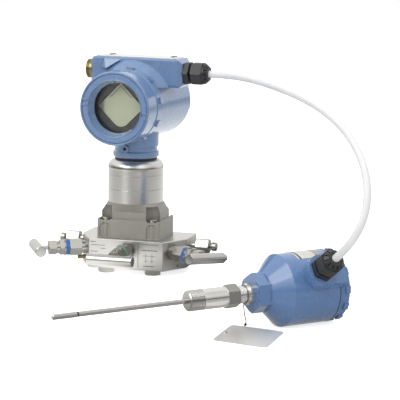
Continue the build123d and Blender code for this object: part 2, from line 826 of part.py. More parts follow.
def connection_head():
    """Painted head with a hexagonal neck, cone, cylinder, cable boss and a screwed cover."""
    spigot_top = head_length + head_spigot_length
    hex_low = -cone_length - head_hex_length
    head = turned([(0, -cone_length), (cone_small_radius, -cone_length), (head_radius, 0),
                   (head_radius, head_length), (head_spigot_radius, head_length),
                   (head_spigot_radius, spigot_top), (0, spigot_top)])
    head += hexagon(head_hex_flats, hex_low, head_hex_sunk - cone_length)
    port = Plane((boss_face, 0, boss_along), x_dir=(0, 1, 0), z_dir=(1, 0, 0))
    head += port * disc(boss_radius, -boss_face, 0)
    head += Pos(0, 0, boss_along) * Box(
        boss_face - boss_shelf_drop, 2 * boss_radius, head_length - boss_along,
        align=(Align.MIN, Align.CENTER, Align.MIN))
    head -= disc(head_cavity_radius, head_floor, spigot_top + through)
    head -= disc(nipple_radius, hex_low - through, hex_low + nipple_socket)
    head -= port * disc(conduit_port_radius, -conduit_port_depth, through)
    place = Pos(0, 0, head_length)
    bore = head_spigot_radius + run_clearance
    seal_r = head_spigot_radius + head_seal_width
    seal_room = seal_r + run_clearance
    ceiling = head_cover_depth - head_cover_wall
    edge = head_cover_depth - head_cover_chamfer_depth
    seal_top = cover_seal_height + run_clearance
    cover = turned([(bore, seal_top), (seal_room, seal_top), (seal_room, head_cover_gap),
                    (head_cover_radius, head_cover_gap), (head_cover_radius, edge),
                    (head_cover_radius - head_cover_chamfer, head_cover_depth), (0, head_cover_depth),
                    (0, ceiling), (bore, ceiling)])
    lug = Box(head_lug_width, 2 * head_lug_reach, head_lug_length, align=centre_low)
    for turn in around(head_lug_count):
        cover += turn * Pos(0, head_cover_radius, edge - head_lug_length) * lug
    seal = ring(seal_r, bore, 0, cover_seal_height)
    block_top = head_floor + head_block_height
    terminal = disc(head_block_radius, head_floor, block_top)
    screw = Pos(head_screw_ring, 0) * disc(head_screw_radius, block_top, block_top + head_screw_height)
    screws = [turn * screw for turn in around(head_screw_count)]
    wedge = Rot(0, 0, boss_rise - 90 - label_half_angle) * extrude(
        make_face(Polyline((0, 0), (2 * head_radius, 0),
                           (2 * head_radius * cos(radians(2 * label_half_angle)),
                            2 * head_radius * sin(radians(2 * label_half_angle))), close=True)),
        head_length)
    sleeve = ring(head_radius + label_thickness, head_radius + label_glue, label_start,
                  label_start + label_length)
    label = sleeve & wedge
    body, nut = gland()
    sensor, boss = sensor_plane(), boss_plane()
    return {
        "connection_head": sensor * head,
        "head_cover": sensor * place * cover,
        "head_cover_seal": sensor * place * seal,
        "head_terminal_block": sensor * terminal,
        "head_terminal_screws": [sensor * screw for screw in screws],
        "head_label": sensor * label,
        "head_gland_body": boss * body,
        "head_gland_nut": boss * nut,
    }


def probe_set():
    """Nipple, spring-loaded adapter, and the probe with its collar and spring."""
    nipple_high = -cone_length - head_hex_length
    nipple_low = nipple_high - nipple_length
    profile = [(nipple_bore, nipple_low), (nipple_radius, nipple_low)]
    for along in reversed(nipple_bands):
        middle = nipple_high - along
        profile += [(nipple_radius, middle - nipple_band_width / 2),
                    (nipple_radius - nipple_band_depth, middle - nipple_band_width / 2),
                    (nipple_radius - nipple_band_depth, middle + nipple_band_width / 2),
                    (nipple_radius, middle + nipple_band_width / 2)]
    profile += [(nipple_radius, nipple_high - nipple_collar_length),
                (nipple_collar_radius, nipple_high - nipple_collar_length),
                (nipple_collar_radius, nipple_high), (nipple_radius, nipple_high),
                (nipple_radius, nipple_high + nipple_socket),
                (nipple_bore, nipple_high + nipple_socket)]
    nipple = turned(profile)
    hex_low = nipple_low - adapter_hex_length
    cylinder_low = hex_low - adapter_cylinder_length
    face = cylinder_low - adapter_thread_length
    adapter = hexagon(adapter_flats, hex_low, nipple_low) + disc(adapter_radius, cylinder_low, hex_low)
    adapter += turned([(0, face), (adapter_thread_radius - adapter_mouth, face),
                       (adapter_thread_radius, face + adapter_mouth), (adapter_thread_radius, cylinder_low),
                       (0, cylinder_low)])
    chamber_low, chamber_high = face + chamber_wall, nipple_low - chamber_wall
    adapter -= disc(chamber_radius, chamber_low, chamber_high)
    adapter -= disc(probe_radius + run_clearance, face - through, nipple_low + through)
    tip = face - probe_reach
    sleeve = tip + probe_sleeve_length
    collar_high = chamber_low + probe_collar_length
    collar = chamber_radius - run_clearance
    groove = probe_radius - probe_groove
    groove_high = sleeve + probe_groove_length
    tail = nipple_low + probe_tail
    probe = turned([(0, tip), (probe_sleeve_radius - probe_tip_chamfer, tip),
                    (probe_sleeve_radius, tip + probe_tip_chamfer), (probe_sleeve_radius, sleeve),
                    (groove, sleeve), (groove, groove_high), (probe_radius, groove_high),
                    (probe_radius, chamber_low), (collar, chamber_low), (collar, collar_high),
                    (probe_radius, collar_high), (probe_radius, tail), (0, tail)])
    spring = ring(collar, chamber_radius - spring_wall, collar_high, chamber_high)
    sensor = sensor_plane()
    return {
        "union_nipple": sensor * nipple,
        "spring_adapter": sensor * adapter,
        "probe": sensor * probe,
        "probe_spring": sensor * spring,
    }


def smooth_tube(points, radius, share=0.45):
    """Round tube along straight runs joined by arcs as large as the runs allow."""
    points = [Vector(*p) for p in points]
    radii = []
    for before, corner, after in zip(points, points[1:], points[2:]):
        run_in, run_out = corner - before, after - corner
        half_turn = radians(run_in.get_angle(run_out)) / 2
        radii.append(share * min(run_in.length, run_out.length) / tan(half_turn))
    path = FilletPolyline(*points, radius=radii)
    start = path @ 0
    section = Plane(start, z_dir=path % 0) * Circle(radius)
    tube = sweep(section, path=path)
    print("tube radii", [round(r, 1) for r in radii], "length", round(path.length, 1),
          "volume against section times length", round(tube.volume / (path.length * section.area), 4))
    return tube


def cable():
    """Light cable from one gland to the other, standing in its own curve."""
    out = Plane(Rot(0, 0, housing_turn) * side_plane(1).location)
    inwards = boss_plane()
    reach = gland_core_length
    lead = gland_flange + gland_groove + gland_nut_length + gland_dome_length
    start, leave = out.origin, out.z_dir
    end, arrive = inwards.origin, inwards.z_dir
    points = [start + leave * reach, start + leave * (lead + cable_lead),
              *[Vector(*p) for p in cable_route],
              end + arrive * (lead + cable_lead), end + arrive * reach]
    return {"cable": smooth_tube([tuple(p) for p in points], cable_radius)}


def tag():
    """Thin plate on the surface, propped at its far edge by its wire, and the wire to the nipple."""
    lift = tag_width / 2 * sin(radians(tag_tilt)) + tag_thickness
    place = Pos(tag_x, tag_y, floor_z + lift) * Rot(0, 0, tag_turn) * Rot(tag_tilt, 0, 0)
    plate = extrude(RectangleRounded(tag_length, tag_width, tag_corner), tag_thickness)
    plate -= Pos(tag_hole_inset - tag_length / 2, 0) * disc(tag_hole_radius, -through, 2 * tag_thickness)
    plate = place * Pos(0, 0, -tag_thickness) * plate
    along = -cone_length - head_hex_length - wire_loop_along
    sensor = sensor_plane()
    loop = sensor * Pos(0, 0, along) * Torus(nipple_radius + wire_radius, wire_radius)
    hang = nipple_radius + 2 * wire_radius + run_clearance
    under = sensor.from_local_coords((0, 0, along)) - Vector(0, 0, hang)
    wire = smooth_tube([tuple(under), *wire_route], wire_radius)
    return {"id_tag": plate, "tag_wire_loop": loop, "tag_wire": wire}


def whole_model():
    """Every node's solids, in the row's frame."""
    nodes = {**manifold(), **module()}
    for name, plane in valve_planes().items():
        nodes.update(valve(name, plane))
    nodes["packing_nuts"] = [plane * packing_nut() for plane in valve_planes().values()]
    for name, plane in vent_planes().items():
        nodes.update(vent(name, plane))
    swung = {**housing(), **housing_covers(), **housing_insides(), **nameplate(), **conduit_fittings()}
    turn = Rot(0, 0, housing_turn)
    for name, shape in swung.items():
        nodes[name] = [turn * s for s in shape] if isinstance(shape, list) else turn * shape
    nodes.update(connection_head())
    nodes.update(probe_set())
    nodes.update(cable())
    nodes.update(tag())
    return nodes


os.makedirs("parts", exist_ok=True)
for node_name, node_shape in whole_model().items():
    if isinstance(node_shape, list):
        node_shape = Compound(node_shape)
    export_step(node_shape, f"parts/{node_name}.step")
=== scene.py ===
"""Looks of the multivariable transmitter with its wired temperature sensor, in the CAD's frame.

Places and sizes are in millimetres where MM or a local frame turns them into metres, else in metres.
"""
import bpy
import json
from math import cos, pi, radians, sin
from mathutils import Matrix, Vector


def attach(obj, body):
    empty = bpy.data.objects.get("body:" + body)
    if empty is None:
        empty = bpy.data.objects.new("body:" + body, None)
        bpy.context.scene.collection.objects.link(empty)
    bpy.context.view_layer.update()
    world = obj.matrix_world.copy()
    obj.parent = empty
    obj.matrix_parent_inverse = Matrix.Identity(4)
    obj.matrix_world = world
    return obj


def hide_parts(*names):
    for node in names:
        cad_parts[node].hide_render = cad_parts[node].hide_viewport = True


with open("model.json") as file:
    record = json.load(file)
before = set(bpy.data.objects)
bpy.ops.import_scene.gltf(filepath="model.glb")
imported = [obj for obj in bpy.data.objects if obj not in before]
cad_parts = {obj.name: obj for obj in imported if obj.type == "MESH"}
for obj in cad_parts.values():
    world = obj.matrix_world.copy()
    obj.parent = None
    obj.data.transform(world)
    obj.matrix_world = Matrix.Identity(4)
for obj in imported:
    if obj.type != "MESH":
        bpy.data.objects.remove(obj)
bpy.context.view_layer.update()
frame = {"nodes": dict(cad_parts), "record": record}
nodes = frame["nodes"]


scene = bpy.context.scene
MM = 0.001
PER_METRE = 1000

# Camera, fitted to the photograph's 400 x 400 frame
CAM_LENS, CAM_SENSOR, CAM_FAR = 193.07, 36.0, 20
CAM_DISTANCE, CAM_HEIGHT = 2.813447, 0.542714
CAM_AZ, CAM_TILT, CAM_PAN, CAM_ROLL = 0.3133549, 0.1605122, 0.0303462, 0.0131722

# Housing and sensor places, as in the CAD, in millimetres. The sensor lies on the floor on its
# head's rim, HEAD_REACH from its axis.
FLOOR_UP = -7.6
HOUSING_TURN = radians(-4.0)
BARREL_Z, BARREL_FRONT_Y = 216.2, -32.0
LEFT_ENTRY_X, ENTRY_Z = -59.0, 258.9
HEAD_REACH = 43.2
SENSOR_HEADING, SENSOR_DROOP, BOSS_RISE = radians(45.1), radians(1.0), radians(32.0)
SENSOR_AT = Vector((264.6, -274.8, FLOOR_UP + HEAD_REACH * cos(SENSOR_DROOP)))
SENSOR_AXIS = Vector((cos(SENSOR_HEADING) * cos(SENSOR_DROOP),
                      sin(SENSOR_HEADING) * cos(SENSOR_DROOP), sin(SENSOR_DROOP)))
LEVEL = Vector((sin(SENSOR_HEADING), -cos(SENSOR_HEADING), 0))
BOSS_AXIS = LEVEL * cos(BOSS_RISE) + LEVEL.cross(SENSOR_AXIS) * sin(BOSS_RISE)
HOUSING_X = Vector((cos(HOUSING_TURN), sin(HOUSING_TURN), 0))
UPRIGHT = Vector((0, 0, 1))
ORIGIN = Vector((0, 0, 0))


def frame_of(x_axis, z_axis, origin):
    """Matrix from a local frame in millimetres to the CAD's frame."""
    matrix = Matrix((x_axis, z_axis.cross(x_axis), z_axis)).transposed().to_4x4()
    matrix.translation = origin
    return matrix


CAD = Matrix.Identity(4)
HOUSING = Matrix.Rotation(HOUSING_TURN, 4, "Z")
SENSOR = frame_of(BOSS_AXIS, SENSOR_AXIS, SENSOR_AT)
COVER = HOUSING @ frame_of(Vector((1, 0, 0)), Vector((0, -1, 0)), Vector((0, BARREL_FRONT_Y, BARREL_Z)))
LEFT_ENTRY = HOUSING @ frame_of(Vector((0, 1, 0)), Vector((-1, 0, 0)), Vector((LEFT_ENTRY_X, 0, ENTRY_Z)))

# Lamps: name, place, target, side, watts, and whether the part mirrors them
LAMPS = (
    ("key", (-0.9, -1.5, 1.6), (0.1, -0.1, 0.12), 1.3, 16, True),
    ("fill", (1.3, -1.9, 1.1), (0.1, -0.1, 0.15), 1.2, 9, False),
    ("top", (0.1, 0.2, 1.9), (0.1, -0.05, 0.1), 1.4, 14, False),
)

# The room's greys, as (position, grey) stops: by height from straight down to straight up, and by
# turn round the part. Behind the part the room gives way to an even backdrop.
ROOM_HEIGHTS = ((0.0, 0.4), (0.49, 0.2), (0.505, 0.03), (0.545, 0.08), (0.62, 0.6), (0.72, 1.1),
                (0.86, 1.1), (1.0, 0.9))
ROOM_TURNS = ((0.0, 1.0), (0.10, 0.8), (0.15, 0.7), (0.17, 2.0), (0.20, 1.9), (0.225, 0.5), (0.27, 0.35),
              (0.31, 0.8), (0.35, 1.4), (0.39, 1.3), (0.43, 0.8), (0.55, 0.7), (0.65, 1.0), (1.0, 1.0))
BEHIND_FROM, BEHIND_TO = 0.1, 0.55
BACKDROP = 0.98

# The paper's greys as the part mirrors them, by turn: near the part, farther out, and a shade over
# both that ends farther out still. The last is by distance, over PAPER_SPAN.
NEAR_TURNS = ((0.0, 1.0), (0.10, 1.0), (0.15, 1.6), (0.18, 2.2), (0.26, 2.2), (0.31, 1.2), (0.36, 1.0),
              (0.45, 0.9), (0.50, 0.15), (0.74, 0.15), (0.80, 1.0), (1.0, 1.0))
FAR_TURNS = ((0.0, 1.0), (0.08, 1.0), (0.13, 1.0), (0.16, 1.5), (0.19, 1.5), (0.22, 0.9), (0.28, 0.95),
             (0.33, 1.3), (0.37, 1.4), (0.41, 1.0), (0.50, 0.95), (0.60, 1.1), (0.70, 1.5), (0.80, 1.6),
             (1.0, 1.1))
SHADE_TURNS = ((0.0, 1.0), (0.22, 1.0), (0.28, 0.5), (0.41, 0.5), (0.47, 1.0), (1.0, 1.0))
PAPER_FALL = ((0.0, 1.0), (0.5, 1.0), (0.8, 0.45), (1.0, 0.4))
NEAR_ENDS, FAR_STARTS = 0.18, 0.4
SHADE_ENDS_FROM, SHADE_ENDS_TO = 0.6, 0.85
PAPER_SPAN = 2.0
PAPER_SIZE, PAPER_GLOW = 9, 0.72
PAPER_DARKEST, PAPER_LIGHTEST = 0.78, 0.82
WHITE = (1, 1, 1, 1)


def camera():
    data = bpy.data.cameras.new("camera")
    data.lens, data.sensor_width, data.clip_end = CAM_LENS, CAM_SENSOR, CAM_FAR
    aim = CAM_AZ - CAM_PAN
    forward = Vector((-sin(aim) * cos(CAM_TILT), cos(aim) * cos(CAM_TILT), -sin(CAM_TILT)))
    right = forward.cross(UPRIGHT).normalized()
    up = right.cross(forward)
    right, up = right * cos(CAM_ROLL) + up * sin(CAM_ROLL), up * cos(CAM_ROLL) - right * sin(CAM_ROLL)
    obj = bpy.data.objects.new("camera", data)
    obj.matrix_world = Matrix((right, up, -forward)).transposed().to_4x4()
    obj.location = (CAM_DISTANCE * sin(CAM_AZ), -CAM_DISTANCE * cos(CAM_AZ), CAM_HEIGHT)
    scene.collection.objects.link(obj)
    scene.camera = obj


def lamps():
    for name, place, target, side, watts, mirrored in LAMPS:
        data = bpy.data.lights.new(name, "AREA")
        data.shape, data.size, data.energy = "SQUARE", side, watts
        obj = bpy.data.objects.new(name, data)
        obj.location = place
        obj.rotation_euler = (Vector(target) - Vector(place)).to_track_quat("-Z", "Y").to_euler()
        obj.visible_glossy = mirrored
        scene.collection.objects.link(obj)


class Tree:
    """Node tree of a world or material, emptied first."""

    def __init__(self, owner):
        owner.use_nodes = True
        self.tree = owner.node_tree
        self.tree.nodes.clear()

    def feed(self, socket, source):
        """Links a socket to another one, or sets its value."""
        if isinstance(source, bpy.types.NodeSocket):
            self.tree.links.new(source, socket)
        else:
            socket.default_value = source

    def node(self, kind, *sources, **values):
        """New node. Sources go to its first inputs in order, values to its attributes or named inputs."""
        node = self.tree.nodes.new(kind)
        for key, value in values.items():
            if hasattr(node, key):
                setattr(node, key, value)
            else:
                self.feed(node.inputs[key.replace("_", " ")], value)
        for socket, source in zip(node.inputs, sources):
            self.feed(socket, source)
        return node

    def value(self, kind, *sources, **values):
        """First output of a new node."""
        return self.node(kind, *sources, **values).outputs[0]

    def place(self):
        """Place in the CAD's frame."""
        return self.node("ShaderNodeTexCoord").outputs["Object"]

    def product(self, first, second):
        return self.value("ShaderNodeVectorMath", first, second, operation="MULTIPLY")

    def rise(self, source, low, high):
        """Smooth rise from 0 at the low value of the source to 1 at the high one."""
        return self.value("ShaderNodeMapRange", source, interpolation_type="SMOOTHSTEP", From_Min=low,
                          From_Max=high)

    def turn(self, direction):
        """Turn round Z, 0 to 1."""
        return self.node("ShaderNodeTexGradient", direction, gradient_type="RADIAL").outputs["Fac"]

    def ramp(self, source, stops):
        """Grey that follows a source from 0 to 1 through (position, grey) stops."""
        node = self.node("ShaderNodeValToRGB", source)
        points = node.color_ramp.elements
        while len(points) < len(stops):
            points.new(0.5)
        for point, (position, grey) in zip(points, stops):
            point.position = position
            point.color = (grey, grey, grey, 1)
        return node.outputs[0]

    def run_along(self, axis, origin):
        """Distance in millimetres along an axis from a place on it."""
        dot = self.node("ShaderNodeVectorMath", self.place(), axis * PER_METRE, operation="DOT_PRODUCT")
        return self.value("ShaderNodeMath", dot.outputs["Value"], origin.dot(axis), operation="SUBTRACT")


def room():
    """White background for the camera; a room with dark and light parts for light and reflections."""
    world = bpy.data.worlds.new("studio")
    scene.world = world
    tree = Tree(world)
    direction = tree.node("ShaderNodeTexCoord").outputs["Generated"]
    split = tree.node("ShaderNodeSeparateXYZ", direction)
    height = tree.value("ShaderNodeMapRange", split.outputs["Z"], From_Min=-1)
    greys = tree.product(tree.ramp(height, ROOM_HEIGHTS), tree.ramp(tree.turn(direction), ROOM_TURNS))
    behind = tree.rise(split.outputs["Y"], BEHIND_FROM, BEHIND_TO)
    greys = tree.value("ShaderNodeMixRGB", behind, greys, (BACKDROP, BACKDROP, BACKDROP, 1))
    seen = tree.node("ShaderNodeLightPath").outputs["Is Camera Ray"]
    mix = tree.value("ShaderNodeMixShader", seen, tree.value("ShaderNodeBackground", greys, 1.0),
                     tree.value("ShaderNodeBackground", WHITE, 1.0))
    tree.node("ShaderNodeOutputWorld", mix)


def paper():
    """White paper under the part, with light and dark parts where the part mirrors it."""
    bpy.ops.mesh.primitive_plane_add(size=PAPER_SIZE, location=(0, 0, FLOOR_UP * MM))
    floor = bpy.context.object
    floor.name = "floor"
    material = bpy.data.materials.new("floor_paper")
    tree = Tree(material)
    place = tree.place()
    turn = tree.turn(place)
    reach = tree.node("ShaderNodeVectorMath", place, operation="LENGTH").outputs["Value"]
    greys = tree.value("ShaderNodeMixRGB", tree.rise(reach, NEAR_ENDS, FAR_STARTS),
                       tree.ramp(turn, NEAR_TURNS), tree.ramp(turn, FAR_TURNS))
    shade = tree.value("ShaderNodeMixRGB", tree.rise(reach, SHADE_ENDS_FROM, SHADE_ENDS_TO),
                       tree.ramp(turn, SHADE_TURNS), WHITE)
    share = tree.value("ShaderNodeMath", reach, 1 / PAPER_SPAN, operation="MULTIPLY")
    greys = tree.product(tree.product(greys, shade), tree.ramp(share, PAPER_FALL))
    mirrored = tree.value("ShaderNodeEmission", greys, PAPER_GLOW)

    mottle = tree.value("ShaderNodeMapRange", tree.value("ShaderNodeTexNoise", Scale=30.0, Detail=4.0),
                        To_Min=PAPER_DARKEST, To_Max=PAPER_LIGHTEST)
    lit = tree.value("ShaderNodeBsdfDiffuse", mottle)
    white = tree.value("ShaderNodeAddShader", lit, tree.value("ShaderNodeEmission", WHITE, PAPER_GLOW))
    path = tree.node("ShaderNodeLightPath").outputs
    seen = tree.value("ShaderNodeMath", path["Is Camera Ray"], path["Is Transmission Ray"],
                      operation="MAXIMUM")
    unseen = tree.value("ShaderNodeMixShader", path["Is Glossy Ray"], lit, mirrored)
    tree.node("ShaderNodeOutputMaterial", tree.value("ShaderNodeMixShader", seen, unseen, white))
    floor.data.materials.append(material)


# Shared by the finishes. The relief's depth is in millimetres, and the last two are for turned metal.
MOTTLE_SCALE = 60.0
ROUGH_LEAST, COAT_ROUGH = 0.02, 0.09
RELIEF_DEPTH = 0.2
RING_SCALE, TURNED_DRAW = 1.1, 0.7


def finish_material(name, colour, rough, metallic=0.0, spread=0.06, rough_spread=0.05, bump=0.1,
                    bump_scale=900.0, stretch=(1, 1, 1), edge=0.4, coat=0.0, axis=None, bands=None):
    """Principled finish with mottled colour, uneven gloss, fine relief and softened edges.

    The edge is the radius of the softening in millimetres. With an axis it is turned metal: rings
    round the axis and a highlight drawn out along it. Bands shade the colour along a run.
    """
    material = bpy.data.materials.new(name)
    tree = Tree(material)
    place = tree.value("ShaderNodeMapping", tree.place(), Scale=stretch)
    mottle = tree.value("ShaderNodeTexNoise", place, Scale=MOTTLE_SCALE, Detail=5.0, Roughness=0.55)
    ramp = tree.node("ShaderNodeValToRGB", mottle)
    low, high = ramp.color_ramp.elements
    low.position, high.position = 0.3, 0.7
    low.color = [c * (1 - spread) for c in colour] + [1]
    high.color = [min(1, c * (1 + spread)) for c in colour] + [1]
    tone = ramp.outputs[0]
    if bands:
        band_axis, band_origin, stops, length = bands
        share = tree.value("ShaderNodeMath", tree.run_along(band_axis, band_origin), length,
                           operation="DIVIDE")
        tone = tree.product(tone, tree.ramp(share, stops))
    gloss = tree.value("ShaderNodeMapRange", mottle, To_Min=max(ROUGH_LEAST, rough - rough_spread),
                       To_Max=rough + rough_spread)
    shader = tree.node("ShaderNodeBsdfPrincipled", Metallic=metallic, Base_Color=tone, Roughness=gloss)
    if coat:
        tree.feed(shader.inputs["Coat Weight"], coat)
        tree.feed(shader.inputs["Coat Roughness"], COAT_ROUGH)
    if axis:
        grain = tree.value("ShaderNodeTexNoise", noise_dimensions="1D", Scale=RING_SCALE, Detail=2.0,
                           W=tree.run_along(axis, ORIGIN))
        normal = tree.node("ShaderNodeNewGeometry").outputs["Normal"]
        tree.feed(shader.inputs["Tangent"], tree.value("ShaderNodeVectorMath", normal, axis,
                                                       operation="CROSS_PRODUCT"))
        tree.feed(shader.inputs["Anisotropic"], TURNED_DRAW)
    else:
        grain = tree.value("ShaderNodeTexNoise", place, Scale=bump_scale, Detail=3.0, Roughness=0.6)
    soften = tree.value("ShaderNodeBevel", samples=6, Radius=edge * MM)
    tree.feed(shader.inputs["Normal"], tree.value("ShaderNodeBump", Strength=bump, Height=grain,
                                                  Distance=RELIEF_DEPTH * MM, Normal=soften))
    tree.node("ShaderNodeOutputMaterial", shader.outputs[0])
    return material


GLASS_TINT, GLASS_BEND, GLASS_ROUGH = (0.97, 0.98, 0.97, 1), 1.3, 0.004


def glass_material():
    """Clear glass with a slight smear, which light passes without a shadow."""
    material = bpy.data.materials.new("window_glass")
    tree = Tree(material)
    smear = tree.value("ShaderNodeTexNoise", tree.place(), Scale=40.0, Detail=4.0)
    gloss = tree.value("ShaderNodeMapRange", smear, To_Min=0.0, To_Max=GLASS_ROUGH)
    shader = tree.value("ShaderNodeBsdfPrincipled", IOR=GLASS_BEND, Base_Color=GLASS_TINT,
                        Transmission_Weight=1.0, Roughness=gloss)
    shadow = tree.node("ShaderNodeLightPath").outputs["Is Shadow Ray"]
    mix = tree.value("ShaderNodeMixShader", shadow, shader, tree.value("ShaderNodeBsdfTransparent"))
    tree.node("ShaderNodeOutputMaterial", mix)
    return material


# Bands along a run: (axis, origin, stops, length in millimetres). The display has a painted shadow at
# its left edge: its colour is darkened where the cover's recess shades it. The head label has a dark bar
# and blank lines, as many as a colour ramp has stops for. From the tip on, the adapter's thread, plain
# stretch and hexagon and the nipple differ in tone.
LCD_PAINTED_SHADOW = (HOUSING_X, Vector((-32.0, 0, 0)),
             ((0.0, 0.22), (0.08, 0.28), (0.125, 0.5), (0.155, 1.0), (1.0, 1.0)), 64.0)
LABEL_LINES, LABEL_PITCH, RAMP_STOPS = 7, 0.085, 31
LABEL_STOPS = [(0.0, 0.9), (0.04, 0.9), (0.045, 0.12), (0.14, 0.12), (0.145, 0.95)]
for k in range(LABEL_LINES):
    LABEL_STOPS += [(start + LABEL_PITCH * k, grey)
                    for start, grey in ((0.20, 0.95), (0.21, 0.45), (0.235, 0.45), (0.245, 0.95))]
LABEL_BANDS = (SENSOR_AXIS, SENSOR_AT + SENSOR_AXIS * 18.0, LABEL_STOPS[:RAMP_STOPS], 34.0)
ADAPTER_BANDS = (SENSOR_AXIS, SENSOR_AT - SENSOR_AXIS * 121.1,
                 ((0.0, 0.85), (0.222, 0.85), (0.224, 1.3), (0.586, 1.3), (0.588, 0.6), (0.770, 0.6),
                  (0.772, 1.4), (1.0, 1.4)), 85.1)

# Finishes: (colour, roughness, what differs from a plain finish)
PAINT = {"spread": 0.03, "bump_scale": 700, "edge": 2.0}
TURNED = {"metallic": 1.0, "spread": 0.015, "rough_spread": 0.01, "bump": 0.02}
PROBE_STEEL = (0.6, 0.59, 0.56)
SLOT_LOOKS = {
    "blue_paint": ((0.126, 0.21, 0.372), 0.27, {**PAINT, "bump": 0.02, "coat": 1.0}),
    "black_seal": ((0.018, 0.018, 0.02), 0.55, {"bump": 0.2, "edge": 0.2}),
    "white_seal": ((0.75, 0.74, 0.7), 0.5, {"edge": 0.2}),
    "black_plastic": ((0.022, 0.022, 0.024), 0.4, {"bump": 0.25, "bump_scale": 1400, "edge": 0.5}),
    # The display face's colour is darkened towards its left edge: a painted shadow of the cover's recess.
    "display_face": ((0.37, 0.39, 0.272), 0.3, {"spread": 0.02, "bump": 0.02, "edge": 0.1,
                                                "bands": LCD_PAINTED_SHADOW}),
    "board_green": ((0.03, 0.12, 0.06), 0.4, {"edge": 0.1}),
    "terminal_plastic": ((0.05, 0.05, 0.055), 0.42, {"bump": 0.2}),
    "plated_screws": ((0.62, 0.60, 0.55), 0.28, {"metallic": 1.0, "edge": 0.25}),
    "plate_steel": ((0.92, 0.91, 0.885), 0.42, {"metallic": 1.0, "spread": 0.02, "edge": 0.2,
                                                "stretch": (1, 30, 30)}),
    "plug_brass": ((0.27, 0.23, 0.11), 0.3, {"metallic": 1.0, "edge": 0.3}),
    "turned_steel": ((0.5, 0.49, 0.45), 0.3, {"metallic": 1.0, "spread": 0.02, "bump": 0.08}),
    "block_steel": ((0.66, 0.65, 0.61), 0.3, {"metallic": 1.0, "spread": 0.03, "edge": 0.35,
                                              "stretch": (25, 25, 1)}),
    "base_grey": ((0.29, 0.28, 0.245), 0.45, {"metallic": 0.2, "bump": 0.4, "bump_scale": 500,
                                              "edge": 0.9}),
    "valve_steel": ((0.44, 0.43, 0.39), 0.25, {"metallic": 1.0, "spread": 0.02, "edge": 0.35}),
    "handle_chrome": ((0.52, 0.515, 0.49), 0.18, {"metallic": 1.0, "spread": 0.02}),
    "green_band": ((0.06, 0.30, 0.16), 0.4, {"edge": 0.2}),
    "blue_band": ((0.03, 0.12, 0.38), 0.3, {"edge": 0.2}),
    "label_paper": ((0.68, 0.67, 0.62), 0.45, {"edge": 0.1, "bands": LABEL_BANDS}),
    "cable_jacket": ((0.64, 0.64, 0.645), 0.42, {"spread": 0.02, "edge": 0.2}),
    "wire_steel": ((0.30, 0.29, 0.27), 0.35, {"metallic": 1.0, "edge": 0.1}),
}
# Looks of their own: name, colour, roughness, what differs, and the nodes that wear them
OWN_LOOKS = (
    ("turned_can", (0.68, 0.665, 0.63), 0.25, {**TURNED, "axis": UPRIGHT}, ("sensor_module",)),
    ("turned_probe", PROBE_STEEL, 0.17, {**TURNED, "axis": SENSOR_AXIS}, ("probe",)),
    ("turned_adapter", PROBE_STEEL, 0.17, {**TURNED, "axis": SENSOR_AXIS, "bands": ADAPTER_BANDS},
     ("union_nipple", "spring_adapter")),
    ("blackened_screw", (0.012, 0.012, 0.013), 0.4, {"metallic": 0.3, "edge": 0.2},
     ("housing_set_screw",)),
    ("engraving", (0.13, 0.13, 0.12), 0.6, {"metallic": 0.4, "edge": 0.05}, ()),
    ("head_paint", (0.090, 0.172, 0.345), 0.27, {**PAINT, "bump": 0.04, "coat": 0.7},
     ("connection_head", "head_cover")),
)

finish = {slot: finish_material(slot, colour, rough, **more)
          for slot, (colour, rough, more) in SLOT_LOOKS.items()}
finish["clear_window"] = glass_material()
own, worn = {}, {}
for name, colour, rough, more, wearers in OWN_LOOKS:
    own[name] = finish_material(name, colour, rough, **more)
    worn.update({wearer: own[name] for wearer in wearers})


def dress_nodes():
    """Every CAD node gets its slot's finish, or its own."""
    for part in frame["record"]["subparts"]:
        name = part["node"]
        obj = nodes[name]
        obj.data.materials.clear()
        obj.data.materials.append(worn.get(name, finish[part["material_slot"]]))


def add_piece(name, data, slot, body, look=None):
    obj = bpy.data.objects.new(name, data)
    scene.collection.objects.link(obj)
    data.materials.append(look or finish[slot])
    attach(obj, body)
    return obj


def mesh_piece(name, place, points, faces, slot, body, look=None):
    """Mesh given by points in millimetres of a local frame."""
    mesh = bpy.data.meshes.new(name)
    mesh.from_pydata([place @ Vector(p) * MM for p in points], [], faces)
    return add_piece(name, mesh, slot, body, look)


BOX_CORNERS = ((-1, -1, -1), (1, -1, -1), (1, 1, -1), (-1, 1, -1),
               (-1, -1, 1), (1, -1, 1), (1, 1, 1), (-1, 1, 1))
BOX_FACES = ((3, 2, 1, 0), (4, 5, 6, 7), (0, 1, 5, 4), (1, 2, 6, 5), (2, 3, 7, 6), (3, 0, 4, 7))


def boxes(name, place, centres_sizes, slot, body, look=None):
    """Several small boxes as one piece."""
    points, faces = [], []
    for centre, size in centres_sizes:
        first = len(points)
        points += [[c + sign * v / 2 for c, sign, v in zip(centre, signs, size)] for signs in BOX_CORNERS]
        faces += [[first + i for i in face] for face in BOX_FACES]
    return mesh_piece(name, place, points, faces, slot, body, look)


def line_piece(name, place, points, radius, slot, body, look=None):
    """Thin round line through points in millimetres of a local frame."""
    data = bpy.data.curves.new(name, "CURVE")
    data.dimensions = "3D"
    data.bevel_depth = radius * MM
    data.bevel_resolution = 2
    spline = data.splines.new("POLY")
    spline.points.add(len(points) - 1)
    for point, p in zip(spline.points, points):
        point.co = (*(place @ Vector(p) * MM), 1)
    return add_piece(name, data, slot, body, look)


def turned_piece(name, place, profile, slot, body, steps=96):
    """Ring turned from a closed (radius, along) profile round the local Z axis."""
    points = [(r * cos(2 * pi * k / steps), r * sin(2 * pi * k / steps), z)
              for k in range(steps) for r, z in profile]
    n, total = len(profile), len(profile) * steps
    faces = [(k * n + i, (k * n + n + i) % total, (k * n + n + (i + 1) % n) % total, k * n + (i + 1) % n)
             for k in range(steps) for i in range(n)]
    return mesh_piece(name, place, points, faces, slot, body)


